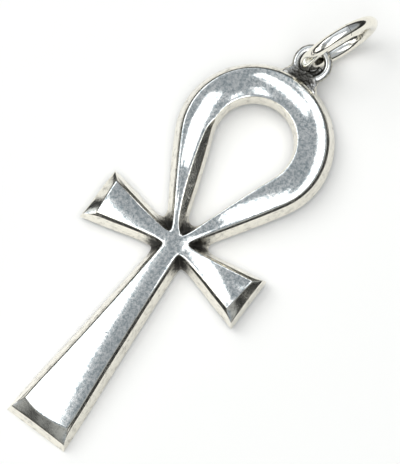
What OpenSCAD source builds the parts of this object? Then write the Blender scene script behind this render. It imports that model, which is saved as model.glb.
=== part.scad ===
// Ankh pendant of cast silver with a soldered wire eye and a jump ring, lying as it rests on a table.
// Millimetres. X runs along the arms, Y from the foot to the jump ring, Z up from the table.
// The body is first laid out flat, with its back on Z = 0 and the centre of the crossing at the origin.

/* [Face and walls] */
// Height of the face's edge above the flat back
face_h = 1.95; // [1.4:0.05:2.8]
// Height that the crown adds in the middle of a wide face
crown_h = 0.38; // [0.1:0.02:0.6]
// Width of face over which the crown gains most of its height
crown_run = 2.6; // [1.5:0.1:5]
// How far the outer walls spread on their way down to the back
draft_out = 0.72; // [0.4:0.02:1]
// How far the walls of the loop's hole spread
draft_in = 0.37; // [0.25:0.01:0.6]
// Width of the narrow bevel under the face's edge
bevel_w = 0.18; // [0.1:0.02:0.24]
// Height of the narrow bevel
bevel_h = 0.28; // [0.1:0.02:0.5]
// Height of the lower edge of the wide bevels on the arms and the foot
end_bevel_z = 0.95; // [0.5:0.05:1.3]

/* [Stem] */
// Length from the centre of the crossing to the end of the foot's back
stem_l = 23.2; // [18:0.2:28]
// Width of the stem's face at the crossing
throat_w = 2; // [1.6:0.05:2.6]
// Width of the stem's face at the foot
foot_w = 5.5; // [4:0.1:7]
// Distance from the end of the back to the corners of the face
foot_setback = 1.9; // [1.2:0.1:2.6]
// Distance from the end of the back to the lower edge of the foot's bevel
foot_skirt = 0.5; // [0.2:0.05:0.9]
// How far the middle of the face reaches past its corners at the foot
foot_bow = 0.4; // [0:0.05:0.6]

/* [Arms] */
// Length from the centre of the crossing to the end of the arm's back
arm_l = 9.6; // [7.5:0.1:12]
// Height of the face's upper edge over the centre line at the crossing
arm_throat_up = 0.78; // [0.6:0.02:1.1]
// Depth of the face's lower edge under the centre line at the crossing
arm_throat_down = 0.58; // [0.45:0.02:1]
// Height of the face's upper edge at the arm's end
arm_end_up = 1.88; // [1.3:0.02:2.6]
// Depth of the face's lower edge at the arm's end
arm_end_down = 2.2; // [1.4:0.02:3]
// Distance from the end of the back to the upper corner of the face
arm_setback = 0.95; // [0.7:0.05:1.4]
// How much further in the lower corner of the face lies
arm_slant = 0.4; // [0:0.05:0.6]
// Distance from the end of the back to the lower edge of the arm's bevel
arm_skirt = 0.4; // [0.2:0.05:0.6]

/* [Loop] */
// Radius of the middle of the band round the top of the loop
loop_r = 5.97; // [5:0.1:7.5]
// Distance from the centre of the crossing up to the centre of that arc
loop_y = 13.38; // [11:0.1:17]
// Width of the band's face
band_w = 3.12; // [2.2:0.05:3.8]
// Distance between the middles of the two legs at the crossing
leg_gap = 0.98; // [0.9:0.02:1.3]

/* [Corners] */
// Radius in the corners of the face's outline
face_r = 0.2; // [0.1:0.02:0.3]
// Radius in the loop's corners at the back
web_r = 0.85; // [0.4:0.05:1]
// Radius in the corners under the arms at the back
low_web_r = 0.55; // [0.3:0.05:0.9]

/* [Eye] */
// Outer diameter of the wire eye
eye_od = 4.1; // [3.8:0.1:4.8]
// Thickness of the eye's wire
eye_wire = 0.84; // [0.6:0.02:1]
// Height of the eye's middle above the back
eye_z = 0.95; // [0.7:0.05:1.2]
// How far the eye is let into the loop's wall at the back
eye_sink = 0.36; // [0.1:0.02:0.6]
// Width of the solder where it runs out on the loop's wall
solder_w = 5; // [4:0.1:6]
// Thickness of the solder where it meets the loop's wall
solder_h = 1.3; // [0.9:0.05:1.6]

/* [Jump ring] */
// Outer diameter of the jump ring
ring_od = 9; // [8:0.1:11]
// Thickness of the jump ring's wire
ring_wire = 1.3; // [0.9:0.05:1.5]
// Room between the two wires where the eye hangs in the ring
ring_gap = 0.04; // [0.03:0.01:0.15]
// Angle at which the ring has swung from the line of the pendant
ring_turn = 22; // [0:1:35]
// Opening of the ring's butt seam
seam_w = 0.06; // [0.03:0.01:0.15]
// Angle of the seam from the ring's highest point, away from the pendant
seam_a = 13; // [0:1:60]

/* [Hidden] */
silver = [0.80, 0.80, 0.78];

// A point this close to the centre line counts as on it
on_line = 0.0001;
// Rows along each branch and columns across its face
stem_rows = 18;
arm_rows = 14;
loop_rows = 54;
columns = 8;

// Rise of an edge from the crossing to the end: share of the length, share of the rise
STEM_RISE = [[0, 0], [0.06, 0], [0.25, 0.18], [0.5, 0.45], [0.75, 0.73], [0.9, 0.92], [1, 1]];
ARM_RISE = [[0, 0], [0.15, 0], [0.25, 0.02], [0.5, 0.3], [0.75, 0.67], [1, 1]];
// Width of the band from the crossing to the loop's widest place: share of the way, share of the width
BAND_WIDTH = [[0, 0.32], [0.1, 0.32], [0.25, 0.45], [0.45, 0.66], [0.65, 0.84], [0.82, 0.94], [1, 1]];
// Solder from the loop's wall to the eye: share of the way, share of the width, share of the thickness
SOLDER = [[0, 1, 1], [0.12, 0.93, 1], [0.25, 0.86, 0.95], [0.38, 0.80, 0.88], [0.5, 0.76, 0.80],
          [0.62, 0.73, 0.74], [0.75, 0.71, 0.68], [0.88, 0.69, 0.62], [1, 0.66, 0.55]];

function lerp(a, b, f) = a + (b - a) * f;
function slope(t, i) = let (a = max(i - 1, 0), b = min(i + 1, len(t) - 1)) (t[b][1] - t[a][1]) / (t[b][0] - t[a][0]);
function row_at(t, x, i = 0) = i >= len(t) - 2 || x < t[i + 1][0] ? i : row_at(t, x, i + 1);
// Smooth curve through the second column of a table
function curve(t, x) =
    let (i = row_at(t, x), d = t[i + 1][0] - t[i][0], f = (x - t[i][0]) / d)
    (2 * pow(f, 3) - 3 * pow(f, 2) + 1) * t[i][1] + (pow(f, 3) - 2 * pow(f, 2) + f) * slope(t, i) * d
    + (3 * pow(f, 2) - 2 * pow(f, 3)) * t[i + 1][1] + (pow(f, 3) - pow(f, 2)) * slope(t, i + 1) * d;
// The same curve, run on in a straight line past the table's end
function rise(t, x) = curve(t, min(x, 1)) + slope(t, len(t) - 1) * max(0, x - 1);
function crown(w) = crown_h * (1 - exp(-pow(w / crown_run, 2)));

// The wall has three lines: 0 is the face's edge, 1 the lower edge of the bevel, 2 the edge of the back.
// e goes from 0 along a side to 1 at the corner of an end, where the bevel grows wide.
end_share = 0.64;
end_run = 1.4;
function spread(k, draft, e = 0) = [0, lerp(bevel_w, draft * end_share, e), draft][k];
function height(k, e = 0) = [face_h, lerp(face_h - bevel_h, end_bevel_z, e), 0][k];
function radius(k, r) = [face_r, lerp(face_r, r, bevel_h / face_h), r][k];
function near_end(left) = pow(max(0, 1 - left / end_run), 2);
// What a rounded corner adds to an edge at a distance from the corner
function fillet(excess, distance, reach) = excess * pow(max(0, 1 - distance / reach), 2);

// The legs leave the crossing at the angle that meets the loop's arc as a tangent
leg_root = [leg_gap / 2, arm_throat_up];
leg_span = norm([0, loop_y] - leg_root);
leg_a = asin(loop_r / leg_span) - asin(leg_root.x / leg_span);
leg_l = sqrt(pow(leg_span, 2) - pow(loop_r, 2));
leg_d = [sin(leg_a), cos(leg_a)];
leg_n = [cos(leg_a), -sin(leg_a)];
widest = leg_l + loop_r * leg_a * PI / 180;
loop_top = leg_l + loop_r * (90 + leg_a) * PI / 180;
function band(s) = band_w * curve(BAND_WIDTH, min(s / widest, 1));
function loop_n(s) = s < leg_l ? leg_n : let (a = (s - leg_l) / loop_r * 180 / PI - leg_a) [cos(a), sin(a)];
function loop_mid(s) = s < leg_l ? leg_root + s * leg_d : [0, loop_y] + loop_r * loop_n(s);

// Corners of the crossing on each of the wall's lines: under the arm, over the arm, and between the legs
function low_corner(k) =
    let (off = spread(k, draft_out) + radius(k, low_web_r) * (1 - sin(45)))
    [throat_w / 2 + off, -arm_throat_down - off];
function up_corner(k) =
    let (off = spread(k, draft_out), h = (90 - leg_a) / 2, edge = leg_root + (band(0) / 2 + off) * leg_n,
         y = arm_throat_up + off, fill = radius(k, web_r) * (1 / sin(h) - 1))
    [edge.x + (y - edge.y) * tan(leg_a), y] + fill * [cos(h), sin(h)];
function v_corner(k) =
    let (edge = leg_root - (band(0) / 2 + spread(k, draft_in)) * leg_n)
    [0, edge.y - edge.x / tan(leg_a) + radius(k, web_r) * (1 / sin(leg_a) - 1)];

// Right edge of the stem, q from 0 at the crossing to 1 at the foot
stem_face_l = stem_l - foot_setback;
function stem_half(s) = lerp(throat_w, foot_w, rise(STEM_RISE, s / stem_face_l)) / 2;
function stem_edge(k, q) =
    let (c = low_corner(k), first = -c.y, last = stem_l - [foot_setback, foot_skirt, 0][k], s = lerp(first, last, q),
         e = near_end(last - s), excess = c.x - stem_half(first) - spread(k, draft_out))
    [stem_half(s) + spread(k, draft_out, e) + fillet(excess, s - first, radius(k, low_web_r) * cos(45)),
     -s, height(k, e)];

// Edges of the right arm: side is 1 for the upper edge and -1 for the lower
arm_face_l = arm_l - arm_setback;
function arm_half(x, side) =
    side > 0 ? lerp(arm_throat_up, arm_end_up, rise(ARM_RISE, x / arm_face_l))
             : lerp(arm_throat_down, arm_end_down, rise(ARM_RISE, x / (arm_face_l - arm_slant)));
function arm_edge(k, q, side) =
    let (c = side > 0 ? up_corner(k) : low_corner(k), slant = side > 0 ? 0 : arm_slant,
         last = arm_l - [arm_setback + slant, arm_skirt, 0][k], x = lerp(c.x, last, q), e = near_end(last - x),
         r = side > 0 ? radius(k, web_r) * cos((90 - leg_a) / 2) : radius(k, low_web_r) * cos(45),
         excess = side * c.y - arm_half(c.x, side) - spread(k, draft_out))
    [x, side * (arm_half(x, side) + spread(k, draft_out, e) + fillet(excess, x - c.x, r)), height(k, e)];

// Edges of the right half of the loop, q from 0 at the crossing to 1 at the top: side is 1 outside, -1 inside
function loop_edge(k, q, side) =
    let (c = (side > 0 ? up_corner(k) : v_corner(k)) - leg_root, first = c * leg_d, s = lerp(first, loop_top, q),
         h = side > 0 ? (90 - leg_a) / 2 : leg_a, draft = side > 0 ? draft_out : draft_in,
         excess = side * (c * leg_n) - band(first) / 2 - spread(k, draft),
         out = band(s) / 2 + spread(k, draft) + fillet(excess, s - first, radius(k, web_r) * cos(h)),
         p = loop_mid(s) + side * out * loop_n(s))
    [p.x, p.y, height(k)];

// Point of a crowned face between two edge points, f from 0 to 1; push moves the middle along the face
function crowned(a, b, f, push = [0, 0, 0]) =
    let (g = 1 - pow(2 * f - 1, 2)) lerp(a, b, f) + g * (push + [0, 0, crown(norm(b - a))]);
function flip(p) = [-p.x, p.y, p.z];

// The foot's bow fades out up the stem with this power of the way
bow_power = 8;
function stem_row(q) =
    let (b = stem_edge(0, q), base = stem_edge(2, q))
    [for (i = [0:columns]) crowned(flip(b), b, 0.5 + i / columns / 2, [0, -foot_bow * pow(q, bow_power), 0]),
     stem_edge(1, q), base, [0, base.y, 0]];
function arm_row(q) =
    let (a = arm_edge(0, q, -1), b = arm_edge(0, q, 1))
    [arm_edge(2, q, -1), arm_edge(1, q, -1), for (i = [0:columns]) crowned(a, b, i / columns),
     arm_edge(1, q, 1), arm_edge(2, q, 1)];
function loop_row(q) =
    let (a = loop_edge(0, q, -1), b = loop_edge(0, q, 1))
    [loop_edge(2, q, -1), loop_edge(1, q, -1), for (i = [0:columns]) crowned(a, b, i / columns),
     loop_edge(1, q, 1), loop_edge(2, q, 1)];

// Face of the crossing's right half, blended between the first rows of the stem, the arm and the loop
function crossing_face(stem, arm, loop) =
    let (n = columns, s0 = stem[0], corner = stem[n], v0 = loop[2], up = loop[n + 2])
    [for (j = [0:n]) let (v = j / n, axis = lerp(s0, v0, v) + [0, 0, (s0.z - v0.z) * v * (1 - v)])
        [for (i = [0:n]) let (u = i / n)
            lerp(stem[i], loop[i + 2], v) + lerp(axis, arm[j + 2], u) - lerp(lerp(s0, corner, u), lerp(v0, up, u), v)]];

// Triangles between neighbouring rows of points
function skin(rows, closed = false) =
    [for (r = [0:len(rows) - 2]) let (a = rows[r], b = rows[r + 1], n = len(a))
        for (i = [0:n - (closed ? 1 : 2)]) let (j = (i + 1) % n) each [[a[i], b[i], b[j]], [a[i], b[j], a[j]]]];
function fan(p, line) = [for (i = [0:len(line) - 2]) [p, line[i], line[i + 1]]];
function reversed(t) = [for (f = t) [f[0], f[2], f[1]]];
// Rows closer together at both ends, and closer together at the first end
function both_ends(i, n) = (1 - cos(180 * i / n)) / 2;
row_bias = 0.55;
function first_end(i, n) = (1 - row_bias) * i / n + row_bias * pow(i / n, 2);

// Numbers of the points of a strip, counted on from the first, row by row
function numbers(first, rows) =
    [for (r = [0:len(rows) - 1]) [for (c = [0:len(rows[r]) - 1]) first + r * len(rows[r]) + c]];
function flat(rows) = [for (r = rows) each r];
function part_of(list, from, to) = [for (i = [from:to]) list[i]];
function with_first(row, rows) = concat([row], part_of(rows, 1, len(rows) - 1));

module body() {
    n = columns;
    stem = [for (i = [0:stem_rows]) stem_row(both_ends(i, stem_rows))];
    arm = [for (i = [0:arm_rows]) arm_row(both_ends(i, arm_rows))];
    loop = [for (i = [0:loop_rows]) loop_row(first_end(i, loop_rows))];
    face = crossing_face(stem[0], arm[0], loop[0]);
    foot = stem[stem_rows];
    hand = arm[arm_rows];
    foot_line = [for (i = [0:n - 1]) lerp([0, foot[n + 1].y, foot[n + 1].z], foot[n + 1], i / n)];
    hand_line = [for (i = [1:n - 1]) lerp(hand[1], hand[n + 3], i / n)];
    right = concat(flat(stem), flat(arm), flat(loop), flat(face), foot_line, hand_line);

    // Where strips meet, the later one takes over the numbers of the earlier one
    s = numbers(0, stem);
    arm_own = numbers(len(flat(stem)), arm);
    a = with_first(concat([s[0][n + 2], s[0][n + 1], s[0][n]], part_of(arm_own[0], 3, n + 4)), arm_own);
    loop_own = numbers(a[arm_rows][n + 4] + 1, loop);
    l = with_first(concat(part_of(loop_own[0], 0, n + 1), part_of(a[0], n + 2, n + 4)), loop_own);
    f = numbers(l[loop_rows][n + 4] + 1, face);
    inner = [for (j = [1:n - 1]) concat(part_of(f[j], 0, n - 1), [a[0][j + 2]])];
    toe = numbers(f[n][n] + 1, [foot_line])[0];
    tip = numbers(toe[n - 1] + 1, [hand_line])[0];
    toe_line = concat(toe, [s[stem_rows][n + 1]]);
    tip_line = concat([a[arm_rows][1]], tip, [a[arm_rows][n + 3]]);

    half = concat(
        reversed(skin(s)),
        reversed(skin(a, true)),
        skin(l, true),
        skin(concat([part_of(s[0], 0, n)], inner, [part_of(l[0], 2, n + 2)])),
        fan(s[0][n + 3], [s[0][n + 2], a[0][n + 4], l[0][0]]),
        reversed(skin([part_of(s[stem_rows], 0, n), toe_line])),
        fan(s[stem_rows][n + 3], concat(toe_line, [s[stem_rows][n + 2]])),
        reversed(skin([part_of(a[arm_rows], 2, n + 2), tip_line])),
        fan(a[arm_rows][0], concat(tip_line, [a[arm_rows][n + 4]])));
    // The left half uses the right half's own points on the centre line
    other = [for (i = [0:len(right) - 1]) abs(right[i].x) < on_line ? i : i + len(right)];
    polyhedron(points = concat(right, [for (p = right) flip(p)]),
               faces = concat(half, reversed([for (t = half) [for (i = t) other[i]]])));
}

// Wire ring lying flat on top of the loop, let a little way into its wall
eye_r = (eye_od - eye_wire) / 2;
back_top = loop_y + loop_r + band_w / 2 + draft_out;
eye_y = back_top - eye_sink + eye_od / 2;
module eye() {
    translate([0, eye_y, eye_z]) rotate_extrude($fn = 40) translate([eye_r, 0]) circle(d = eye_wire, $fn = 14);
}

// Solder that runs from the loop's wall up round the lower side of the eye
solder_from = loop_y + loop_r + band_w / 2 - draft_out / 2;
solder_to = eye_y - eye_r + eye_wire / 2;
module solder_lump(row) {
    d = solder_h * row[2];
    for (side = [-1, 1])
        translate([side * (solder_w * row[1] - d) / 2, lerp(solder_from, solder_to, row[0]), eye_z])
            sphere(d = d, $fn = 16);
}
module solder() {
    for (i = [1:len(SOLDER) - 1])
        hull() {
            solder_lump(SOLDER[i - 1]);
            solder_lump(SOLDER[i]);
        }
}

// The ring stands on its edge and carries the eye: its wire runs through the middle of the eye,
// and the far side of the eye rests on the ring's inner side
ring_r = (ring_od - ring_wire) / 2;
wires = (ring_wire + eye_wire) / 2 + ring_gap;
ring_reach = (pow(eye_r, 2) + 2 * ring_r * wires - pow(wires, 2)) / (2 * eye_r);
eye_rest = ring_od / 2 - sqrt(pow(ring_r, 2) - pow(ring_reach, 2));
// The body leans on the end of its foot, tilted until the eye lies at that height
lean_l = stem_l + eye_y;
lean = asin(eye_rest / norm([lean_l, eye_z])) - atan(eye_z / lean_l);
eye_along = lean_l * cos(lean) - eye_z * sin(lean);
ring_along = eye_along + ring_reach * cos(ring_turn);
whole_l = ring_along + ring_r * cos(ring_turn) + ring_wire / 2;

module ankh() {
    color(silver) translate([0, -whole_l / 2, 0]) rotate([lean, 0, 0]) translate([0, stem_l, 0]) {
        body();
        eye();
        solder();
    }
}

module jump_ring() {
    color(silver)
    translate([ring_reach * sin(ring_turn), ring_along - whole_l / 2, ring_od / 2])
        rotate([90, 0, 90 - ring_turn]) rotate([0, 0, 90 - seam_a])
            rotate([0, 0, asin(seam_w / 2 / ring_r)])
                rotate_extrude(angle = 360 - 2 * asin(seam_w / 2 / ring_r), $fn = 96)
                    translate([ring_r, 0]) circle(d = ring_wire, $fn = 32);
}

ankh();
jump_ring();
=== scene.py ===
import math

import bmesh
import bpy
import numpy as np
from mathutils import Matrix, Vector, noise


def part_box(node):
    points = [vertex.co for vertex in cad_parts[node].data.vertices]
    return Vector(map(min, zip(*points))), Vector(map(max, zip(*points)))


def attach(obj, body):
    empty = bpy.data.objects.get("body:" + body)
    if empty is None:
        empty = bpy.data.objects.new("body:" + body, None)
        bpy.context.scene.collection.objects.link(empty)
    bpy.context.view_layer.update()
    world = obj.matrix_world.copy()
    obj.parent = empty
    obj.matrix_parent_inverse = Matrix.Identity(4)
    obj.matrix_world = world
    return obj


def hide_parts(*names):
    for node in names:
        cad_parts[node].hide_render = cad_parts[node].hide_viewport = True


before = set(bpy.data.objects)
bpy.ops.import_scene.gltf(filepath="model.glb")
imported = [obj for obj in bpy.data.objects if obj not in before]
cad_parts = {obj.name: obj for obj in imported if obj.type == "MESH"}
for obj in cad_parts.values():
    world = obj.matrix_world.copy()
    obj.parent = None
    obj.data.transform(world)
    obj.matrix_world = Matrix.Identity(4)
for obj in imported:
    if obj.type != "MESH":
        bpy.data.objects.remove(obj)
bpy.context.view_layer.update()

# Camera
# It looks down steeply on the pendant, which lies with its foot to the lower left of the picture.
# Picture up is PICTURE_TURN round from the pendant's own long axis.
PICTURE_TURN = math.radians(36.9)
CAMERA_RISE = math.radians(80)
CAMERA_DISTANCE = 0.33
LENS = 252.8
AIM_RIGHT = 0.00043
AIM_UP = -0.00118
picture_up = Vector((-math.sin(PICTURE_TURN), math.cos(PICTURE_TURN), 0))
picture_right = Vector((math.cos(PICTURE_TURN), math.sin(PICTURE_TURN), 0))
aim = picture_right * AIM_RIGHT + picture_up * AIM_UP
to_camera = -picture_up * math.cos(CAMERA_RISE) + Vector((0, 0, math.sin(CAMERA_RISE)))
camera_data = bpy.data.cameras.new("camera")
camera_data.lens = LENS
camera_data.clip_start = 0.01
camera = bpy.data.objects.new("camera", camera_data)
camera.location = aim + to_camera * CAMERA_DISTANCE
camera.rotation_euler = (-to_camera).to_track_quat("-Z", "Y").to_euler()
bpy.context.collection.objects.link(camera)
bpy.context.scene.camera = camera

# Cast silver body
# The ankh is one casting of sterling silver with a flat back, drafted walls and a low crowned face.
# It is cast from a rubber mould, filed, and polished by hand on a wheel, which leaves the corners dark.
# Sizes in millimetres, in a flat frame: back on Z = 0, centre of the crossing at the origin, foot at -Y.
# A face is crowned in its middle and has a rounded rim along its edges. Below it are a narrow bevel, wide at
# the ends of the branches, and a drafted wall. The wheel has rolled the loop's inner edge off.
face_h = 1.95
crown_h = 0.38
crown_run = 3
crown_power = 4
rim_w = 0.28
rim_h = 0.1
rim_share = 0.22
draft_out = 0.72
draft_in = 0.37
bevel_w = 0.18
bevel_h = 0.17
corner_bevel = 0.5
arm_bevel_z = 1.45
foot_bevel_z = 1.27
foot_bevel_bow = 0.44
end_share = 0.64
end_run = 1.4
stem_l = 23.2
throat_w = 2
foot_w = 5.5
foot_setback = 1.9
foot_skirt = 0.5
foot_bow = 0.4
bow_power = 8
arm_l = 9.6
arm_throat_up = 0.78
arm_throat_down = 0.58
arm_end_up = 1.88
arm_end_down = 2.2
arm_setback = 0.95
arm_slant = 0.4
arm_skirt = 0.28
loop_r = 5.97
loop_y = 13.38
band_w = 3.12
leg_gap = 0.98
loop_crown = 0.68
ridge_at = 0.58
inner_roll = 0.03
inner_rim = 0.3
roll_run = 0.12
filed_w = 0.85
filed_h = 0.55
filed_from = 0.02
filed_run = 0.52
filed_power = 0.6
face_r = 0.2
web_r = 0.85
low_web_r = 0.55
# Share of the length against share of the flare, and for the loop share of the way against share of the width
STEM_FLARE = ((0, 0), (0.06, 0), (0.25, 0.18), (0.5, 0.45), (0.75, 0.73), (0.9, 0.92), (1, 1))
ARM_FLARE = ((0, 0), (0.15, 0), (0.25, 0.02), (0.5, 0.3), (0.75, 0.67), (1, 1))
BAND_WIDTH = ((0, 0.32), (0.1, 0.32), (0.25, 0.45), (0.45, 0.66), (0.65, 0.84), (0.82, 0.94), (1, 1))
# Columns of half a face, of a rim and of a whole face between its rims, and lines down a wall
HALF = (0, 0.14, 0.29, 0.44, 0.59, 0.74, 0.88)
RIM = (0, 0.33, 0.67, 1)
MIDDLE = (0.25, 0.5, 0.75)
DOWN = (0, 0.25, 0.78, 1, 1.06, 1.5, 1.93, 2)
S45 = math.sin(math.pi / 4)
MIRROR = np.array((-1, 1, 1))


def lerp(a, b, f):
    return a + (b - a) * f


def slope_at(rows, i):
    a, b = max(i - 1, 0), min(i + 1, len(rows) - 1)
    return (rows[b][1] - rows[a][1]) / (rows[b][0] - rows[a][0])


def smooth_curve(rows, x):
    """Smooth curve through the rows."""
    i = 0
    while i < len(rows) - 2 and x >= rows[i + 1][0]:
        i += 1
    d = rows[i + 1][0] - rows[i][0]
    f = (x - rows[i][0]) / d
    start, end = slope_at(rows, i) * d, slope_at(rows, i + 1) * d
    return ((2 * f**3 - 3 * f**2 + 1) * rows[i][1] + (f**3 - 2 * f**2 + f) * start
            + (3 * f**2 - 2 * f**3) * rows[i + 1][1] + (f**3 - f**2) * end)


def flare(rows, x):
    """The same curve, run on in a straight line past its last row."""
    return smooth_curve(rows, min(x, 1)) + slope_at(rows, len(rows) - 1) * max(0, x - 1)


def crown(width):
    """Rise of the polished crown in the middle of a face."""
    return crown_h * (1 - math.exp(-((width / crown_run) ** crown_power)))


def rim(distance):
    """Rise of the rounded rim that the wheel leaves along a face's edge."""
    return rim_h * (1 - (1 - min(distance / rim_w, 1)) ** 2)


def half_columns(width):
    """Shares from the middle of a face to its edge."""
    r = min(2 * rim_w / width, 2 * rim_share)
    return [(1 - r) * t for t in HALF] + [1 - r * (1 - t) for t in RIM]


def columns(width):
    """Shares from one edge of a face to the other."""
    r = min(rim_w / width, rim_share)
    return [r * t for t in RIM] + [r + (1 - 2 * r) * t for t in MIDDLE] + [1 - r * (1 - t) for t in RIM]


def spread(k, draft, e=0):
    """How far wall line k stands out from the face's edge: 0 the edge, 1 under the bevel, 2 the back.

    e goes from 0 along a side to 1 at the corner of an end, where the bevel grows wide.
    """
    return (0, lerp(bevel_w * draft / draft_out, draft * end_share, e), draft)[k]


def corner_spread(k, draft):
    """The same in a web's corner, where the bevel is narrower, so that it does not lie flat there."""
    return spread(k, draft) * (1, corner_bevel, 1)[k]


def height(k, e=0, end_z=0):
    return (face_h, lerp(face_h - bevel_h, end_z, e), 0)[k]


def radius(k, r):
    return (face_r, lerp(face_r, r, bevel_h / face_h), r)[k]


def near_end(left):
    return max(0, 1 - left / end_run) ** 2


def fillet(excess, distance, reach):
    return excess * max(0, 1 - distance / reach) ** 2


leg_root = np.array((leg_gap / 2, arm_throat_up))
leg_span = math.hypot(leg_root[0], loop_y - leg_root[1])
leg_a = math.asin(loop_r / leg_span) - math.asin(leg_root[0] / leg_span)
leg_l = math.sqrt(leg_span**2 - loop_r**2)
leg_d = np.array((math.sin(leg_a), math.cos(leg_a)))
leg_n = np.array((math.cos(leg_a), -math.sin(leg_a)))
widest = leg_l + loop_r * leg_a
loop_top = leg_l + loop_r * (math.pi / 2 + leg_a)
outer_half_a = (math.pi / 2 - leg_a) / 2


def band(s):
    """Width of the loop's face, s along its middle from the crossing."""
    return band_w * smooth_curve(BAND_WIDTH, min(s / widest, 1))


def loop_n(s):
    a = (s - leg_l) / loop_r - leg_a
    return leg_n if s < leg_l else np.array((math.cos(a), math.sin(a)))


def loop_mid(s):
    return leg_root + s * leg_d if s < leg_l else np.array((0, loop_y)) + loop_r * loop_n(s)


def low_corner(k):
    """Corner of the web between the stem and an arm."""
    off = corner_spread(k, draft_out) + radius(k, low_web_r) * (1 - S45)
    return np.array((throat_w / 2 + off, -arm_throat_down - off))


def up_corner(k):
    """Corner of the web between an arm and the loop."""
    off = corner_spread(k, draft_out)
    edge = leg_root + (band(0) / 2 + off) * leg_n
    y = arm_throat_up + off
    fill = radius(k, web_r) * (1 / math.sin(outer_half_a) - 1)
    corner = np.array((edge[0] + (y - edge[1]) * math.tan(leg_a), y))
    return corner + fill * np.array((math.cos(outer_half_a), math.sin(outer_half_a)))


def v_corner(k):
    """Corner of the web between the loop's two legs."""
    edge = leg_root - (band(0) / 2 + corner_spread(k, draft_in)) * leg_n
    return np.array((0, edge[1] - edge[0] / math.tan(leg_a) + radius(k, web_r) * (1 / math.sin(leg_a) - 1)))


def stem_half(s):
    return lerp(throat_w, foot_w, flare(STEM_FLARE, s / (stem_l - foot_setback))) / 2


def stem_edge(k, q):
    """Point of the stem's right side on wall line k, q from 0 at the crossing to 1 at the foot."""
    c = low_corner(k)
    first, last = -c[1], stem_l - (foot_setback, foot_skirt, 0)[k]
    s = lerp(first, last, q)
    e = near_end(last - s)
    excess = c[0] - stem_half(first) - spread(k, draft_out)
    out = stem_half(s) + spread(k, draft_out, e) + fillet(excess, s - first, radius(k, low_web_r) * S45)
    return np.array((out, -s, height(k, e, foot_bevel_z)))


def arm_half(x, side):
    face_l = arm_l - arm_setback
    if side > 0:
        return lerp(arm_throat_up, arm_end_up, flare(ARM_FLARE, x / face_l))
    return lerp(arm_throat_down, arm_end_down, flare(ARM_FLARE, x / (face_l - arm_slant)))


def arm_edge(k, q, side):
    """The same for the right arm's upper side, or its lower side where side is -1."""
    c = up_corner(k) if side > 0 else low_corner(k)
    last = arm_l - (arm_setback + (0 if side > 0 else arm_slant), arm_skirt, 0)[k]
    x = lerp(c[0], last, q)
    e = near_end(last - x)
    reach = radius(k, web_r) * math.cos(outer_half_a) if side > 0 else radius(k, low_web_r) * S45
    excess = side * c[1] - arm_half(c[0], side) - spread(k, draft_out)
    out = arm_half(x, side) + spread(k, draft_out, e) + fillet(excess, x - c[0], reach)
    return np.array((x, side * out, height(k, e, arm_bevel_z)))


def rolled(q):
    """How much of the wheel's rolled inner edge shows, from none at the crossing to all of it on the loop."""
    return min(1, q / roll_run) ** 2


def filed(q):
    """How much of the wide inner bevel shows that the file left along one leg of the loop."""
    return max(0, math.sin(math.pi * min(1, max(0, (q - filed_from) / filed_run)))) ** filed_power


def loop_edge(k, q, side, file=0):
    """The same for the loop's outer side, or its inner side where side is -1, up to the loop's top."""
    c = (up_corner(k) if side > 0 else v_corner(k)) - leg_root
    first = c @ leg_d
    s = lerp(first, loop_top, q)
    draft, half_a = (draft_out, outer_half_a) if side > 0 else (draft_in, leg_a)
    excess = side * (c @ leg_n) - band(first) / 2 - spread(k, draft)
    out = band(s) / 2 + spread(k, draft) + fillet(excess, s - first, radius(k, web_r) * math.cos(half_a))
    worn = 0
    if side < 0 and k < 2:
        out -= (filed_w, 0)[k] * file
        worn = inner_roll * rolled(q) + (0, filed_h)[k] * file
    x, y = loop_mid(s) + side * out * loop_n(s)
    return np.array((x, y, height(k) - worn))


def crowned(a, b, f, left, push=0):
    """Point of the crowned face between two edge points; push moves the middle towards the foot."""
    width = np.linalg.norm(b - a)
    g = 1 - (2 * f - 1) ** 2
    rise = crown(width) * g + rim(min(f * width, (1 - f) * width, left))
    return lerp(a, b, f) + np.array((0, -push * g, rise))


def rolled_face(a, b, f, left, share):
    """Point of the loop's face: its ridge stands nearer the outer edge, and its inner edge rolls off."""
    side = (ridge_at - f) / ridge_at if f < ridge_at else (f - ridge_at) / (1 - ridge_at)
    g = lerp(1 - (2 * f - 1) ** 2, 1 - side**2, share)
    width = np.linalg.norm(b - a)
    rise = g * (crown(width) * lerp(1, loop_crown, share) + inner_roll * share * (1 - f))
    if f > 0.5:
        rise += rim(min((1 - f) * width, left))
    else:
        rise += rim(min(f * width, left)) * lerp(1, inner_rim, share)
    return lerp(a, b, f) + np.array((0, 0, rise))


def wall(lines, w):
    """Point of a wall, from 0 at the face's edge over 1 under the bevel to 2 at the back."""
    return lerp(lines[0], lines[1], w) if w <= 1 else lerp(lines[1], lines[2], w - 1)


def stem_row(q):
    lines = [stem_edge(k, q) for k in range(3)]
    push = foot_bow * q**bow_power
    shares = half_columns(2 * lines[0][0])
    left = (1 - q) * (stem_l - foot_setback)
    face = [crowned(lines[0] * MIRROR, lines[0], 0.5 + f / 2, left, push) for f in shares]
    back = [lines[2] * (f, 1, 1) for f in reversed(shares)]
    return face, [wall(lines, w) for w in DOWN], back


def strip_row(a, b, left=math.inf, roll=0):
    shares = columns(np.linalg.norm(b[0] - a[0]))
    face = [rolled_face(a[0], b[0], f, left, roll) for f in shares]
    back = [lerp(b[2], a[2], f) for f in shares]
    return face, [wall(b, w) for w in DOWN], back, [wall(a, w) for w in reversed(DOWN)]


def joined(parts):
    """The parts of a ring end to end, without the points where they meet twice."""
    return [p for part in parts for p in part[:-1]] + [parts[-1][-1]]


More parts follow.
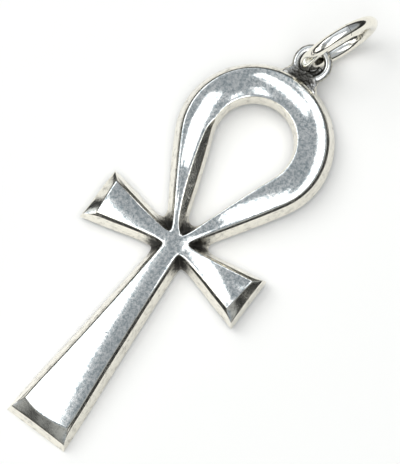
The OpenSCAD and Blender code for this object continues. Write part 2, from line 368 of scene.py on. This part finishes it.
def crossing(stem, arm, loop, rimmed=True):
    """Right half of the crossing, blended between the first rows of the stem, the arm and the loop."""
    corners = (stem[-1], arm[-1], loop[0])
    across = half_columns(2 * stem[-1][0])
    up = columns(np.linalg.norm(arm[-1] - arm[0]))

    def rim_at(p):
        away = min(math.dist(p[:2], corner[:2]) for corner in corners)
        return np.array((0, 0, rim(away) if rimmed else 0))

    stem, arm, loop = ([p - rim_at(p) for p in row] for row in (stem, arm, loop))
    rows = []
    for j, v in enumerate(up):
        axis = lerp(stem[0], loop[0], v) + np.array((0, 0, (stem[0][2] - loop[0][2]) * v * (1 - v)))
        row = [
            lerp(stem[i], loop[i], v) + lerp(axis, arm[j], u)
            - lerp(lerp(stem[0], stem[-1], u), lerp(loop[0], loop[-1], u), v)
            for i, u in enumerate(across)
        ]
        rows.append([p + rim_at(p) for p in row])
    return rows


def end_cap(face, a, b, shares):
    """The bevel and the wall that close a branch, from its last row of face points down to the back."""
    rows = []
    for w in DOWN:
        line = [lerp(wall(a, max(w, 1)), wall(b, max(w, 1)), f) for f in shares]
        rows.append([lerp(p, q, w) for p, q in zip(face, line)] if w <= 1 else line)
    return rows


def bunched(count):
    """Shares of a branch's length from 0 on, closer together near its two ends."""
    return [(1 - math.cos(math.pi * i / count)) / 2 for i in range(count)]


def bunched_low(count):
    """Shares of the loop's length, closer together near the crossing."""
    return [0.45 * i / count + 0.55 * (i / count) ** 2 for i in range(count + 1)]


stem_rows = [stem_row(q) for q in bunched(13) + [0.989, 0.995, 1]]
arm_rows = [
    strip_row([arm_edge(k, q, -1) for k in range(3)], [arm_edge(k, q, 1) for k in range(3)], (1 - q) * arm_l)
    for q in bunched(11) + [0.97, 0.986, 1]
]
foot_corner = [stem_edge(k, 1) for k in range(3)]
foot_axis = [p * (0, 1, 1) + (0, 0, z) for p, z in zip(foot_corner, (0, foot_bevel_bow, 0))]
hand_low = [arm_edge(k, 1, -1) for k in range(3)]
hand_up = [arm_edge(k, 1, 1) for k in range(3)]


def half_grids(file):
    """Grids of the right half; file is the share of the filed inner bevel on its leg."""
    loop_rows = []
    for q in bunched_low(34):
        inner = [loop_edge(k, q, -1, file * filed(q)) for k in range(3)]
        outer = [loop_edge(k, q, 1) for k in range(3)]
        loop_rows.append(strip_row(inner, outer, roll=rolled(q)))
    return [
        [joined(r) for r in stem_rows],
        [joined(r) for r in arm_rows],
        [joined(r) for r in loop_rows],
        crossing(stem_rows[0][0], arm_rows[0][0], loop_rows[0][0]),
        crossing(stem_rows[0][2][::-1], arm_rows[0][2][::-1], loop_rows[0][2][::-1], rimmed=False),
        end_cap(stem_rows[-1][0], foot_axis, foot_corner, half_columns(2 * foot_corner[0][0])),
        end_cap(arm_rows[-1][0], hand_low, hand_up, columns(np.linalg.norm(hand_up[0] - hand_low[0]))),
    ]


def mesh_of_grids(name, grids, merge=0.0005):
    """One closed mesh from grids of points in millimetres that share their border points."""
    mesh = bmesh.new()
    for grid in grids:
        rows = [[mesh.verts.new(p) for p in row] for row in grid]
        for low, high in zip(rows, rows[1:]):
            for i in range(len(low) - 1):
                mesh.faces.new((low[i], low[i + 1], high[i + 1], high[i]))
    bmesh.ops.remove_doubles(mesh, verts=mesh.verts, dist=merge)
    bmesh.ops.dissolve_degenerate(mesh, edges=mesh.edges, dist=merge / 10)
    bmesh.ops.recalc_face_normals(mesh, faces=mesh.faces)
    data = bpy.data.meshes.new(name)
    mesh.to_mesh(data)
    mesh.free()
    data.shade_smooth()
    piece = bpy.data.objects.new(name, data)
    bpy.context.collection.objects.link(piece)
    return piece


def apply_modifiers(piece):
    bpy.context.view_layer.update()
    data = bpy.data.meshes.new_from_object(piece.evaluated_get(bpy.context.evaluated_depsgraph_get()))
    piece.modifiers.clear()
    piece.data = data


left_grids = [[[p * MIRROR for p in row] for row in grid] for grid in half_grids(file=1)]
ankh_body = mesh_of_grids("ankh_body", half_grids(file=0) + left_grids)
smoothing = ankh_body.modifiers.new("smoothing", "SUBSURF")
smoothing.levels = 2
smoothing.render_levels = 2
apply_modifiers(ankh_body)

# The pendant lies on the end of its foot, with its head propped by the jump ring.
MILLIMETRE = 0.001
eye_od = 4.1
eye_wire = 0.84
eye_z = 0.95
eye_sink = 0.36
ring_od = 9
ring_wire = 1.3
ring_gap = 0.04
ring_turn = math.radians(22)
eye_r = (eye_od - eye_wire) / 2
eye_y = loop_y + loop_r + band_w / 2 + draft_out - eye_sink + eye_od / 2
ring_r = (ring_od - ring_wire) / 2
wires = (ring_wire + eye_wire) / 2 + ring_gap
ring_reach = (eye_r**2 + 2 * ring_r * wires - wires**2) / (2 * eye_r)
eye_rest = ring_od / 2 - math.sqrt(ring_r**2 - ring_reach**2)
lean_l = stem_l + eye_y
lean = math.asin(eye_rest / math.hypot(lean_l, eye_z)) - math.atan(eye_z / lean_l)
foot_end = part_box("ankh")[0].y
to_metres = Matrix.Scale(MILLIMETRE, 4)
lie_down = (Matrix.Translation((0, foot_end, 0)) @ to_metres @ Matrix.Rotation(lean, 4, "X")
            @ Matrix.Translation((0, stem_l, 0)))
ankh_body.data.transform(lie_down)


def at_rest(x, y, z):
    """Where a point of the flat frame is once the pendant lies on the table, in metres."""
    return lie_down @ Vector((x, y, z))


def new_group(name, inputs, outputs):
    """An empty node group with named sockets, and the sockets inside it that give values and take results."""
    group = bpy.data.node_groups.new(name, "ShaderNodeTree")
    for label, kind, value in inputs:
        given = group.interface.new_socket(name=label, in_out="INPUT", socket_type="NodeSocket" + kind)
        if value is not None:
            given.default_value = value
    for label, kind in outputs:
        group.interface.new_socket(name=label, in_out="OUTPUT", socket_type="NodeSocket" + kind)
    return group, group.nodes.new("NodeGroupInput").outputs, group.nodes.new("NodeGroupOutput").inputs


def add_node(tree, kind, values=(), **settings):
    """A new node with its settings, and its inputs given as (socket, value or the output that feeds it)."""
    made = tree.nodes.new("ShaderNode" + kind)
    for key, value in settings.items():
        setattr(made, key, value)
    for name, value in values:
        if isinstance(value, bpy.types.NodeSocket):
            tree.links.new(value, made.inputs[name])
        else:
            made.inputs[name].default_value = value
    return made


def add_group(tree, group, **values):
    made = tree.nodes.new("ShaderNodeGroup")
    made.node_tree = group
    for key, value in values.items():
        made.inputs[key.replace("_", " ")].default_value = value
    return made


def own_place(tree):
    """Place on the piece itself, in metres."""
    return add_node(tree, "TexCoord").outputs["Object"]


def calculated(tree, operation, *values):
    return add_node(tree, "Math", enumerate(values), operation=operation).outputs["Value"]


def measured(tree, operation, first, second):
    return add_node(tree, "VectorMath", [(0, first), (1, second)], operation=operation).outputs["Value"]


def mottle(tree, place, patches, detail, rough=0.5):
    """Uneven patches; patches is how many of them lie on a metre."""
    values = [("Vector", place), ("Scale", patches), ("Detail", detail), ("Roughness", rough)]
    return add_node(tree, "TexNoise", values).outputs["Fac"]


def smooth_mask(tree, value, start, end):
    """0 where the value is at its start and 1 where it is at its end, with a soft change between."""
    step = add_node(tree, "MapRange", [("Value", value), ("From Min", start), ("From Max", end)],
                    interpolation_type="SMOOTHSTEP")
    return step.outputs["Result"]


def blend(tree, share, first, second):
    return add_node(tree, "Mix", [(0, share), (2, first), (3, second)], data_type="FLOAT").outputs[0]


def blend_colour(tree, share, first, second):
    return add_node(tree, "Mix", [(0, share), (6, first), (7, second)], data_type="RGBA").outputs[2]


def make_hand_polish():
    """What a felt wheel leaves on silver: soft dents, fine scratches that cross, and an uneven satin."""
    scratch_turns = (0.35, 1.2)
    scratches_per_metre = (900, 26000, 9000)
    satin_change = 0.14
    group, given, made = new_group(
        "hand_polish",
        [("Dent Depth", "Float", 0.00001), ("Scratch Depth", "Float", 0.000001), ("Gloss", "Float", 0.15)],
        [("Normal", "Vector"), ("Roughness", "Float")])
    place = own_place(group)
    dents = mottle(group, place, patches=2600, detail=3, rough=0.55)
    last = add_node(group, "Bump", [("Height", dents), ("Distance", given["Dent Depth"])])
    for turn in scratch_turns:
        along = [("Vector", place), ("Rotation", (0, 0, turn)), ("Scale", scratches_per_metre)]
        hairs = mottle(group, add_node(group, "Mapping", along).outputs["Vector"], patches=1, detail=2)
        last = add_node(group, "Bump", [("Height", hairs), ("Normal", last.outputs["Normal"]),
                                        ("Distance", given["Scratch Depth"])])
    group.links.new(last.outputs["Normal"], made["Normal"])
    cloud = mottle(group, place, patches=1100, detail=4)
    satin = calculated(group, "MULTIPLY_ADD", cloud, satin_change, given["Gloss"])
    group.links.new(satin, made["Roughness"])
    return group


def make_recess_tarnish_and_shade():
    """Darkening round a spot: the dark skin where no wheel reaches, and painted shade where the spot stands
    for shade, as in the eye's hole; the same on both sides of the middle.
    """
    raggedness = 0.9
    group, given, made = new_group(
        "recess_tarnish_and_shade", [("Spot", "Vector", None), ("Reach", "Float", 0.0015)], [("Tarnish And Shade", "Float")])
    place = own_place(group)
    parts = add_node(group, "SeparateXYZ", [("Vector", place)]).outputs
    outward = calculated(group, "ABSOLUTE", parts["X"])
    one_side = add_node(group, "CombineXYZ", [("X", outward), ("Y", parts["Y"]), ("Z", parts["Z"])])
    away = measured(group, "DISTANCE", one_side.outputs["Vector"], given["Spot"])
    share = calculated(group, "DIVIDE", away, given["Reach"])
    uneven = mottle(group, place, patches=3000, detail=4, rough=0.65)
    total = calculated(group, "MULTIPLY_ADD", uneven, raggedness, share)
    group.links.new(smooth_mask(group, total, start=1.45, end=0.85), made["Tarnish And Shade"])
    return group


def make_casting_pits():
    """Sparse round pits of a casting, as a height: 0 on the skin and -1 at the bottom of a pit."""
    cells_per_metre = 900
    sound_share = 0.93
    group, given, made = new_group("casting_pits", [("Pit Size", "Float", 0.00008)], [("Height", "Float")])
    cells = add_node(group, "TexVoronoi", [("Vector", own_place(group)), ("Scale", cells_per_metre)])
    away = calculated(group, "MULTIPLY", cells.outputs["Distance"], 1 / cells_per_metre)
    bowl = smooth_mask(group, calculated(group, "DIVIDE", away, given["Pit Size"]), start=1, end=0.3)
    lot = add_node(group, "SeparateColor", [("Color", cells.outputs["Color"])]).outputs["Red"]
    pitted = calculated(group, "GREATER_THAN", lot, sound_share)
    depth = calculated(group, "MULTIPLY", bowl, pitted)
    group.links.new(calculated(group, "MULTIPLY", depth, -1), made["Height"])
    return group


def make_steep_sides():
    """Where the surface is far from level, as on the walls, which the wheel hardly touches."""
    soft_edge = 0.05
    group, given, made = new_group("steep_sides", [("Clean Above", "Float", 0.915)], [("Steep", "Float")])
    normal = add_node(group, "NewGeometry").outputs["Normal"]
    slope = add_node(group, "SeparateXYZ", [("Vector", normal)]).outputs["Z"]
    level = calculated(group, "ABSOLUTE", slope)
    full = calculated(group, "SUBTRACT", given["Clean Above"], soft_edge)
    group.links.new(smooth_mask(group, level, start=given["Clean Above"], end=full), made["Steep"])
    return group


def make_wall_stain():
    """Brown stains that handling leaves on the walls."""
    group, given, made = new_group("wall_stain", [("Amount", "Float", 0.5)], [("Stain", "Float")])
    streaks = mottle(group, own_place(group), patches=1500, detail=5, rough=0.7)
    stain = smooth_mask(group, streaks, start=0.45, end=0.75)
    group.links.new(calculated(group, "MULTIPLY", stain, given["Amount"]), made["Stain"])
    return group


def make_clouded_film():
    """The grey speckled film of thin tarnish on a face that was polished a while ago."""
    group, given, made = new_group("clouded_film", [("Amount", "Float", 1)], [("Film", "Float")])
    film = mottle(group, own_place(group), patches=3000, detail=5, rough=0.76)
    speckle = smooth_mask(group, film, start=0.32, end=0.7)
    group.links.new(calculated(group, "MULTIPLY", speckle, given["Amount"]), made["Film"])
    return group


hand_polish = make_hand_polish()
recess_tarnish_and_shade = make_recess_tarnish_and_shade()
casting_pits = make_casting_pits()
steep_sides = make_steep_sides()
wall_stain = make_wall_stain()
clouded_film = make_clouded_film()
BRIGHT_SILVER = (0.93, 0.925, 0.91, 1)
CLOUDED_SILVER = (0.34, 0.40, 0.42, 1)
WARM_SILVER = (0.88, 0.85, 0.76, 1)
# Dark silver is the tarnish in the recesses and on the walls. Round the eye's hole it is painted shade.
DARK_SILVER = (0.04, 0.038, 0.034, 1)
TARNISH_AND_SHADE_ROUGHNESS = 0.5


def make_silver(name, gloss, dents, scratches, spots, stains, pits, clouds, clean_above=0.915):
    """Polished silver that is dark round the spots.

    Each spot is a place, a reach in metres, and how far what lies flat there is dark too.
    """
    material = bpy.data.materials.new(name)
    material.use_nodes = True
    tree = material.node_tree
    shader = tree.nodes["Principled BSDF"]
    shader.inputs["Metallic"].default_value = 1
    polish = add_group(tree, hand_polish, Gloss=gloss, Dent_Depth=dents, Scratch_Depth=scratches)
    steep = add_group(tree, steep_sides, Clean_Above=clean_above).outputs["Steep"]
    stain = add_group(tree, wall_stain, Amount=stains).outputs["Stain"]
    tarnish_and_shade = calculated(tree, "MULTIPLY", stain, steep)
    # Round the webs the spots darken with tarnish. Round the eye's hole they paint shade into the colour.
    for spot, reach, on_flat in spots:
        recess = add_group(tree, recess_tarnish_and_shade, Spot=spot, Reach=reach).outputs["Tarnish And Shade"]
        where = calculated(tree, "MAXIMUM", steep, on_flat)
        tarnish_and_shade = calculated(tree, "MAXIMUM", tarnish_and_shade, calculated(tree, "MULTIPLY", recess, where))
    film = add_group(tree, clouded_film, Amount=clouds).outputs["Film"]
    face = blend_colour(tree, film, BRIGHT_SILVER, CLOUDED_SILVER)
    skin = blend_colour(tree, steep, face, WARM_SILVER)
    tree.links.new(blend_colour(tree, tarnish_and_shade, skin, DARK_SILVER), shader.inputs["Base Color"])
    rough = blend(tree, tarnish_and_shade, polish.outputs["Roughness"], TARNISH_AND_SHADE_ROUGHNESS)
    tree.links.new(rough, shader.inputs["Roughness"])
    normal = polish.outputs["Normal"]
    if pits:
        sunk = add_group(tree, casting_pits, Pit_Size=pits).outputs["Height"]
        pitted = add_node(tree, "Bump", [("Height", sunk), ("Normal", normal), ("Distance", pits)])
        normal = pitted.outputs["Normal"]
    tree.links.new(normal, shader.inputs["Normal"])
    return material


web_stain_z = 0.9
cast_silver = make_silver(
    "cast_silver", gloss=0.09, dents=0.000008, scratches=0.00000006,
    spots=[(at_rest(*low_corner(1), web_stain_z), 0.0023, 0),
           (at_rest(*up_corner(1), web_stain_z), 0.0025, 0),
           (at_rest(*v_corner(1), web_stain_z), 0.0025, 0)],
    stains=0.5, pits=0.00009, clouds=1)
ankh_body.data.materials.append(cast_silver)
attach(ankh_body, "root")
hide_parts("ankh")

# Wire eye and its solder
# A small ring of silver wire is laid flat against the loop's top. A dark grained lump of hard solder holds it
# there and lines its inside. The dark lining and the dark sides of the wire round the eye's hole are partly
# solder and tarnish and partly painted shade, standing in for the shade inside the hole.
solder_w = 5
solder_h = 1.3
solder_grain = 0.11
grain_past = 0.25
grain_fade = 0.4
coarse_grain = 3.2
fine_grain = 7
lining_beads = 13
lining_r = 0.95
lining_z = 0.45
lining_bead_r = 0.3
flow_size = 0.045
# Share of the way from the loop to the eye, share of the solder's width, share of its thickness
SOLDER = ((0, 1, 1), (0.12, 0.93, 1), (0.25, 0.86, 0.95), (0.38, 0.80, 0.88), (0.5, 0.76, 0.80),
          (0.62, 0.73, 0.74), (0.75, 0.71, 0.68), (0.88, 0.69, 0.62), (1, 0.66, 0.55))
solder_from = loop_y + loop_r + band_w / 2 - draft_out / 2
solder_to = eye_y - eye_r + eye_wire / 2


def torus_grid(ring, wire, around=96, tube=24, start=0.0, end=2 * math.pi):
    """Round wire bent along a ring, from one angle to another."""
    rows = []
    for i in range(around + 1):
        a = lerp(start, end, i / around)
        row = []
        for j in range(tube + 1):
            t = 2 * math.pi * j / tube
            out = ring + wire * math.cos(t)
            row.append(np.array((out * math.cos(a), out * math.sin(a), wire * math.sin(t))))
        rows.append(row)
    return rows


def add_bead(mesh, x, y, z, r):
    bmesh.ops.create_icosphere(mesh, subdivisions=3, radius=r, matrix=Matrix.Translation((x, y, z)))


eye_grid = [[p + (0, eye_y, eye_z) for p in row] for row in torus_grid(eye_r, eye_wire / 2)]
eye = mesh_of_grids("eye", [eye_grid])
lumps = bmesh.new()
for way, width, thickness in SOLDER:
    d = solder_h * thickness
    steps = max(2, round(solder_w * width / d * 4))
    for i in range(steps + 1):
        x = lerp(-1, 1, i / steps) * (solder_w * width - d) / 2
        add_bead(lumps, x, lerp(solder_from, solder_to, way), eye_z, d / 2)
# The lining fills the eye's hole with dark solder where the hole lies in shade. It is partly painted shade.
for i in range(lining_beads):
    a = math.radians(-180 + 180 * i / (lining_beads - 1))
    add_bead(lumps, lining_r * math.cos(a), eye_y + lining_r * math.sin(a), lining_z, lining_bead_r)
lumps.from_mesh(eye.data)
lumps.to_mesh(eye.data)
lumps.free()
remesh = eye.modifiers.new("flow", "REMESH")
remesh.mode = "VOXEL"
remesh.voxel_size = flow_size
flow = eye.modifiers.new("smooth", "SMOOTH")
flow.factor = 0.5
flow.iterations = 8
apply_modifiers(eye)
grain = []
for vertex in eye.data.vertices:
    rough = max(0, min(1, (solder_to + grain_past - vertex.co.y) / grain_fade)) * solder_grain
    lumpy = noise.noise(vertex.co * coarse_grain) + 0.5 * noise.noise(vertex.co * fine_grain)
    grain.append(vertex.normal * rough * lumpy)
for vertex, shift in zip(eye.data.vertices, grain):
    vertex.co += shift
eye.data.shade_smooth()
eye.data.transform(lie_down)
solder_spot = at_rest(0, (solder_from + solder_to) / 2 - 0.2, 1.2)
# Painted shade, with some tarnish: the eye's wire and the lining are darkened round the eye's hole, where
# shade falls.
eye_tarnish_and_shade_spot = at_rest(0, eye_y, eye_z - 0.4)
lining_solder_and_shade_spot = at_rest(0, eye_y - 0.3, 0.3)
soldered_silver = make_silver(
    "soldered_silver", gloss=0.06, dents=0.00001, scratches=0.0000004,
    spots=[(solder_spot, 0.0023, 0.96), (eye_tarnish_and_shade_spot, 0.003, 0), (lining_solder_and_shade_spot, 0.002, 1)],
    stains=0.3, pits=0.00007, clouds=0.25, clean_above=0.85)
eye.data.materials.append(soldered_silver)
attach(eye, "root")
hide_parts("ankh")

# Jump ring
# A ring bent from round drawn silver wire, which goes through the eye and closes with a plain butt seam.
# It stands on its edge and holds the pendant's head off the table.
seam_w = 0.045
seam_a = math.radians(13)
ring_slack = 0.003
end_crease = 0.7
half_seam = math.asin(seam_w / 2 / ring_r)
ring_grid = torus_grid(ring_r, ring_wire / 2 - ring_slack, around=160, tube=32,
                       start=half_seam, end=2 * math.pi - half_seam)
jump_ring = mesh_of_grids("jump_ring", [ring_grid])
ends = bmesh.new()
ends.from_mesh(jump_ring.data)
bmesh.ops.holes_fill(ends, edges=[e for e in ends.edges if e.is_boundary], sides=0)
bmesh.ops.recalc_face_normals(ends, faces=ends.faces)
ends.to_mesh(jump_ring.data)
ends.free()
jump_ring.data.set_sharp_from_angle(angle=end_crease)
ring_low, ring_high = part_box("jump_ring")
ring_centre = (ring_low + ring_high) / 2
stand_up = (Matrix.Translation((ring_centre.x, ring_centre.y, ring_od / 2 * MILLIMETRE)) @ to_metres
            @ Matrix.Rotation(math.pi / 2 - ring_turn, 4, "Z") @ Matrix.Rotation(math.pi / 2, 4, "X")
            @ Matrix.Rotation(math.pi / 2 - seam_a, 4, "Z"))
jump_ring.data.transform(stand_up)
wire_silver = make_silver("wire_silver", gloss=0.05, dents=0.000004, scratches=0.0000005, spots=[],
                          stains=0.12, pits=0, clouds=0.2)
jump_ring.data.materials.append(wire_silver)
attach(jump_ring, "root")
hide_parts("jump_ring")

# Table
# A plain table covered with matt white paper, which runs past the edges of every picture.
TABLE_HALF = 1.5
PAPER_WHITE = (0.92, 0.91, 0.885, 1)
table_mesh = bmesh.new()
bmesh.ops.create_grid(table_mesh, x_segments=1, y_segments=1, size=TABLE_HALF)
table_data = bpy.data.meshes.new("table")
table_mesh.to_mesh(table_data)
table_mesh.free()
table = bpy.data.objects.new("table", table_data)
bpy.context.collection.objects.link(table)
paper = bpy.data.materials.new("white_paper")
paper.use_nodes = True
paper_shader = paper.node_tree.nodes["Principled BSDF"]
paper_shader.inputs["Base Color"].default_value = PAPER_WHITE
paper_shader.inputs["Roughness"].default_value = 1
paper_shader.inputs["Specular IOR Level"].default_value = 0
table_data.materials.append(paper)

# Studio dome
# A tent of white cloth round the table, black at the horizon and grey at its top. It has a grey shade at the
# lower right of the picture, and grey doors at the upper right and the lower left.
DOME_TINT = (0.93, 0.98, 1.02, 1)
DOME_GREY = 0.5
SIDE_WHITE = 1
SHADE_GREY = 0.46
DOOR_GREY = 0.3
HORIZON_GREY = 0.03
shade_way = picture_right * 0.7 - picture_up * 0.7
door_way = picture_right * 0.8 + picture_up * 0.6
world = bpy.data.worlds.new("dome")
bpy.context.scene.world = world
world.use_nodes = True
dome = world.node_tree
dome.nodes.clear()
way = add_node(dome, "TexCoord").outputs["Generated"]
sky = add_node(dome, "SeparateXYZ", [("Vector", way)]).outputs["Z"]
side_rise = smooth_mask(dome, sky, start=0.34, end=0.44)
top_rise = smooth_mask(dome, sky, start=0.7, end=0.81)
shade = smooth_mask(dome, measured(dome, "DOT_PRODUCT", way, shade_way), start=0.05, end=0.6)
either_door = calculated(dome, "ABSOLUTE", measured(dome, "DOT_PRODUCT", way, door_way))
doors = smooth_mask(dome, either_door, start=0.42, end=0.62)
side_level = blend(dome, doors, SIDE_WHITE, DOOR_GREY)
upper_level = blend(dome, top_rise, side_level, DOME_GREY)
sky_level = blend(dome, side_rise, HORIZON_GREY, blend(dome, shade, upper_level, SHADE_GREY))
glow = add_node(dome, "Background", [("Color", DOME_TINT), ("Strength", sky_level)])
add_node(dome, "OutputWorld", [("Surface", glow.outputs["Background"])])

# Lights and cards
# A soft key light from the upper left and a soft fill from above light the table. White cards hang over the
# pendant at three heights. Only the metal mirrors them, and they draw its white areas and pale lines.
KEY_WATTS = 1.8
FILL_WATTS = 6.8
CARD_LEVEL = 2.2
# Name, place to the right, place up in the picture and over the table, width, height, turn in degrees, share
CARDS = (
    ("left_card", -0.0295, -0.010, 0.028, 0.040, 0.044, 5, 1),
    ("left_edge_card", -0.0075, -0.012, 0.028, 0.005, 0.042, 5, 0.09),
    ("left_hem_card", -0.0090, -0.014, 0.028, 0.003, 0.040, 5, 0.13),
    ("outer_card", -0.019, 0.028, 0.028, 0.016, 0.026, -30, 0.8),
    ("streak_card", 0.0006, 0.0094, 0.008, 0.0023, 0.0078, -20, 0.9),
    ("top_card", 0.0086, 0.0136, 0.008, 0.0018, 0.0068, 45, 0.9),
    ("window_card", 0.0063, 0.0121, 0.008, 0.0009, 0.0016, 12, 0.9),
    ("small_window_card", 0.0046, 0.0116, 0.008, 0.0008, 0.0007, 20, 0.9),
    ("far_top_card", 0.0145, 0.028, 0.028, 0.010, 0.011, 0, 0.13),
    ("right_card", 0.0150, 0.005, 0.014, 0.0060, 0.025, 0, 0.8),
    ("leg_card", 0.0058, 0.0013, 0.008, 0.0076, 0.0036, 12, 0.8),
    ("low_card", 0.014, -0.003, 0.028, 0.014, 0.010, 0, 1),
    ("arm_card", 0.0006, -0.0055, 0.008, 0.0028, 0.0085, 0, 0.9),
)


def soft_light(name, place, width, height, watts):
    """A wide light that points at the pendant."""
    data = bpy.data.lights.new(name, "AREA")
    data.shape = "RECTANGLE"
    data.size = width
    data.size_y = height
    data.energy = watts
    light = bpy.data.objects.new(name, data)
    light.location = place
    light.rotation_euler = (-light.location).to_track_quat("-Z", "Y").to_euler()
    light.visible_camera = False
    bpy.context.collection.objects.link(light)
    return light


for name, right, up, rise, width, height, turn, share in CARDS:
    place = picture_right * right + picture_up * up + Vector((0, 0, rise))
    card = soft_light(name, place, width, height, CARD_LEVEL * share * width * height * math.pi)
    card.rotation_euler = (0, 0, PICTURE_TURN + math.radians(turn))
    card.visible_diffuse = False
key_place = -picture_right * 0.4 + picture_up * 0.3 + Vector((0, 0, 0.6))
key = soft_light("key", key_place, 0.5, 0.4, KEY_WATTS)
key.visible_glossy = False
fill = soft_light("fill", Vector((0, 0, 1)), 1.2, 1.2, FILL_WATTS)
fill.visible_glossy = False
bpy.context.scene.view_settings.view_transform = "Standard"
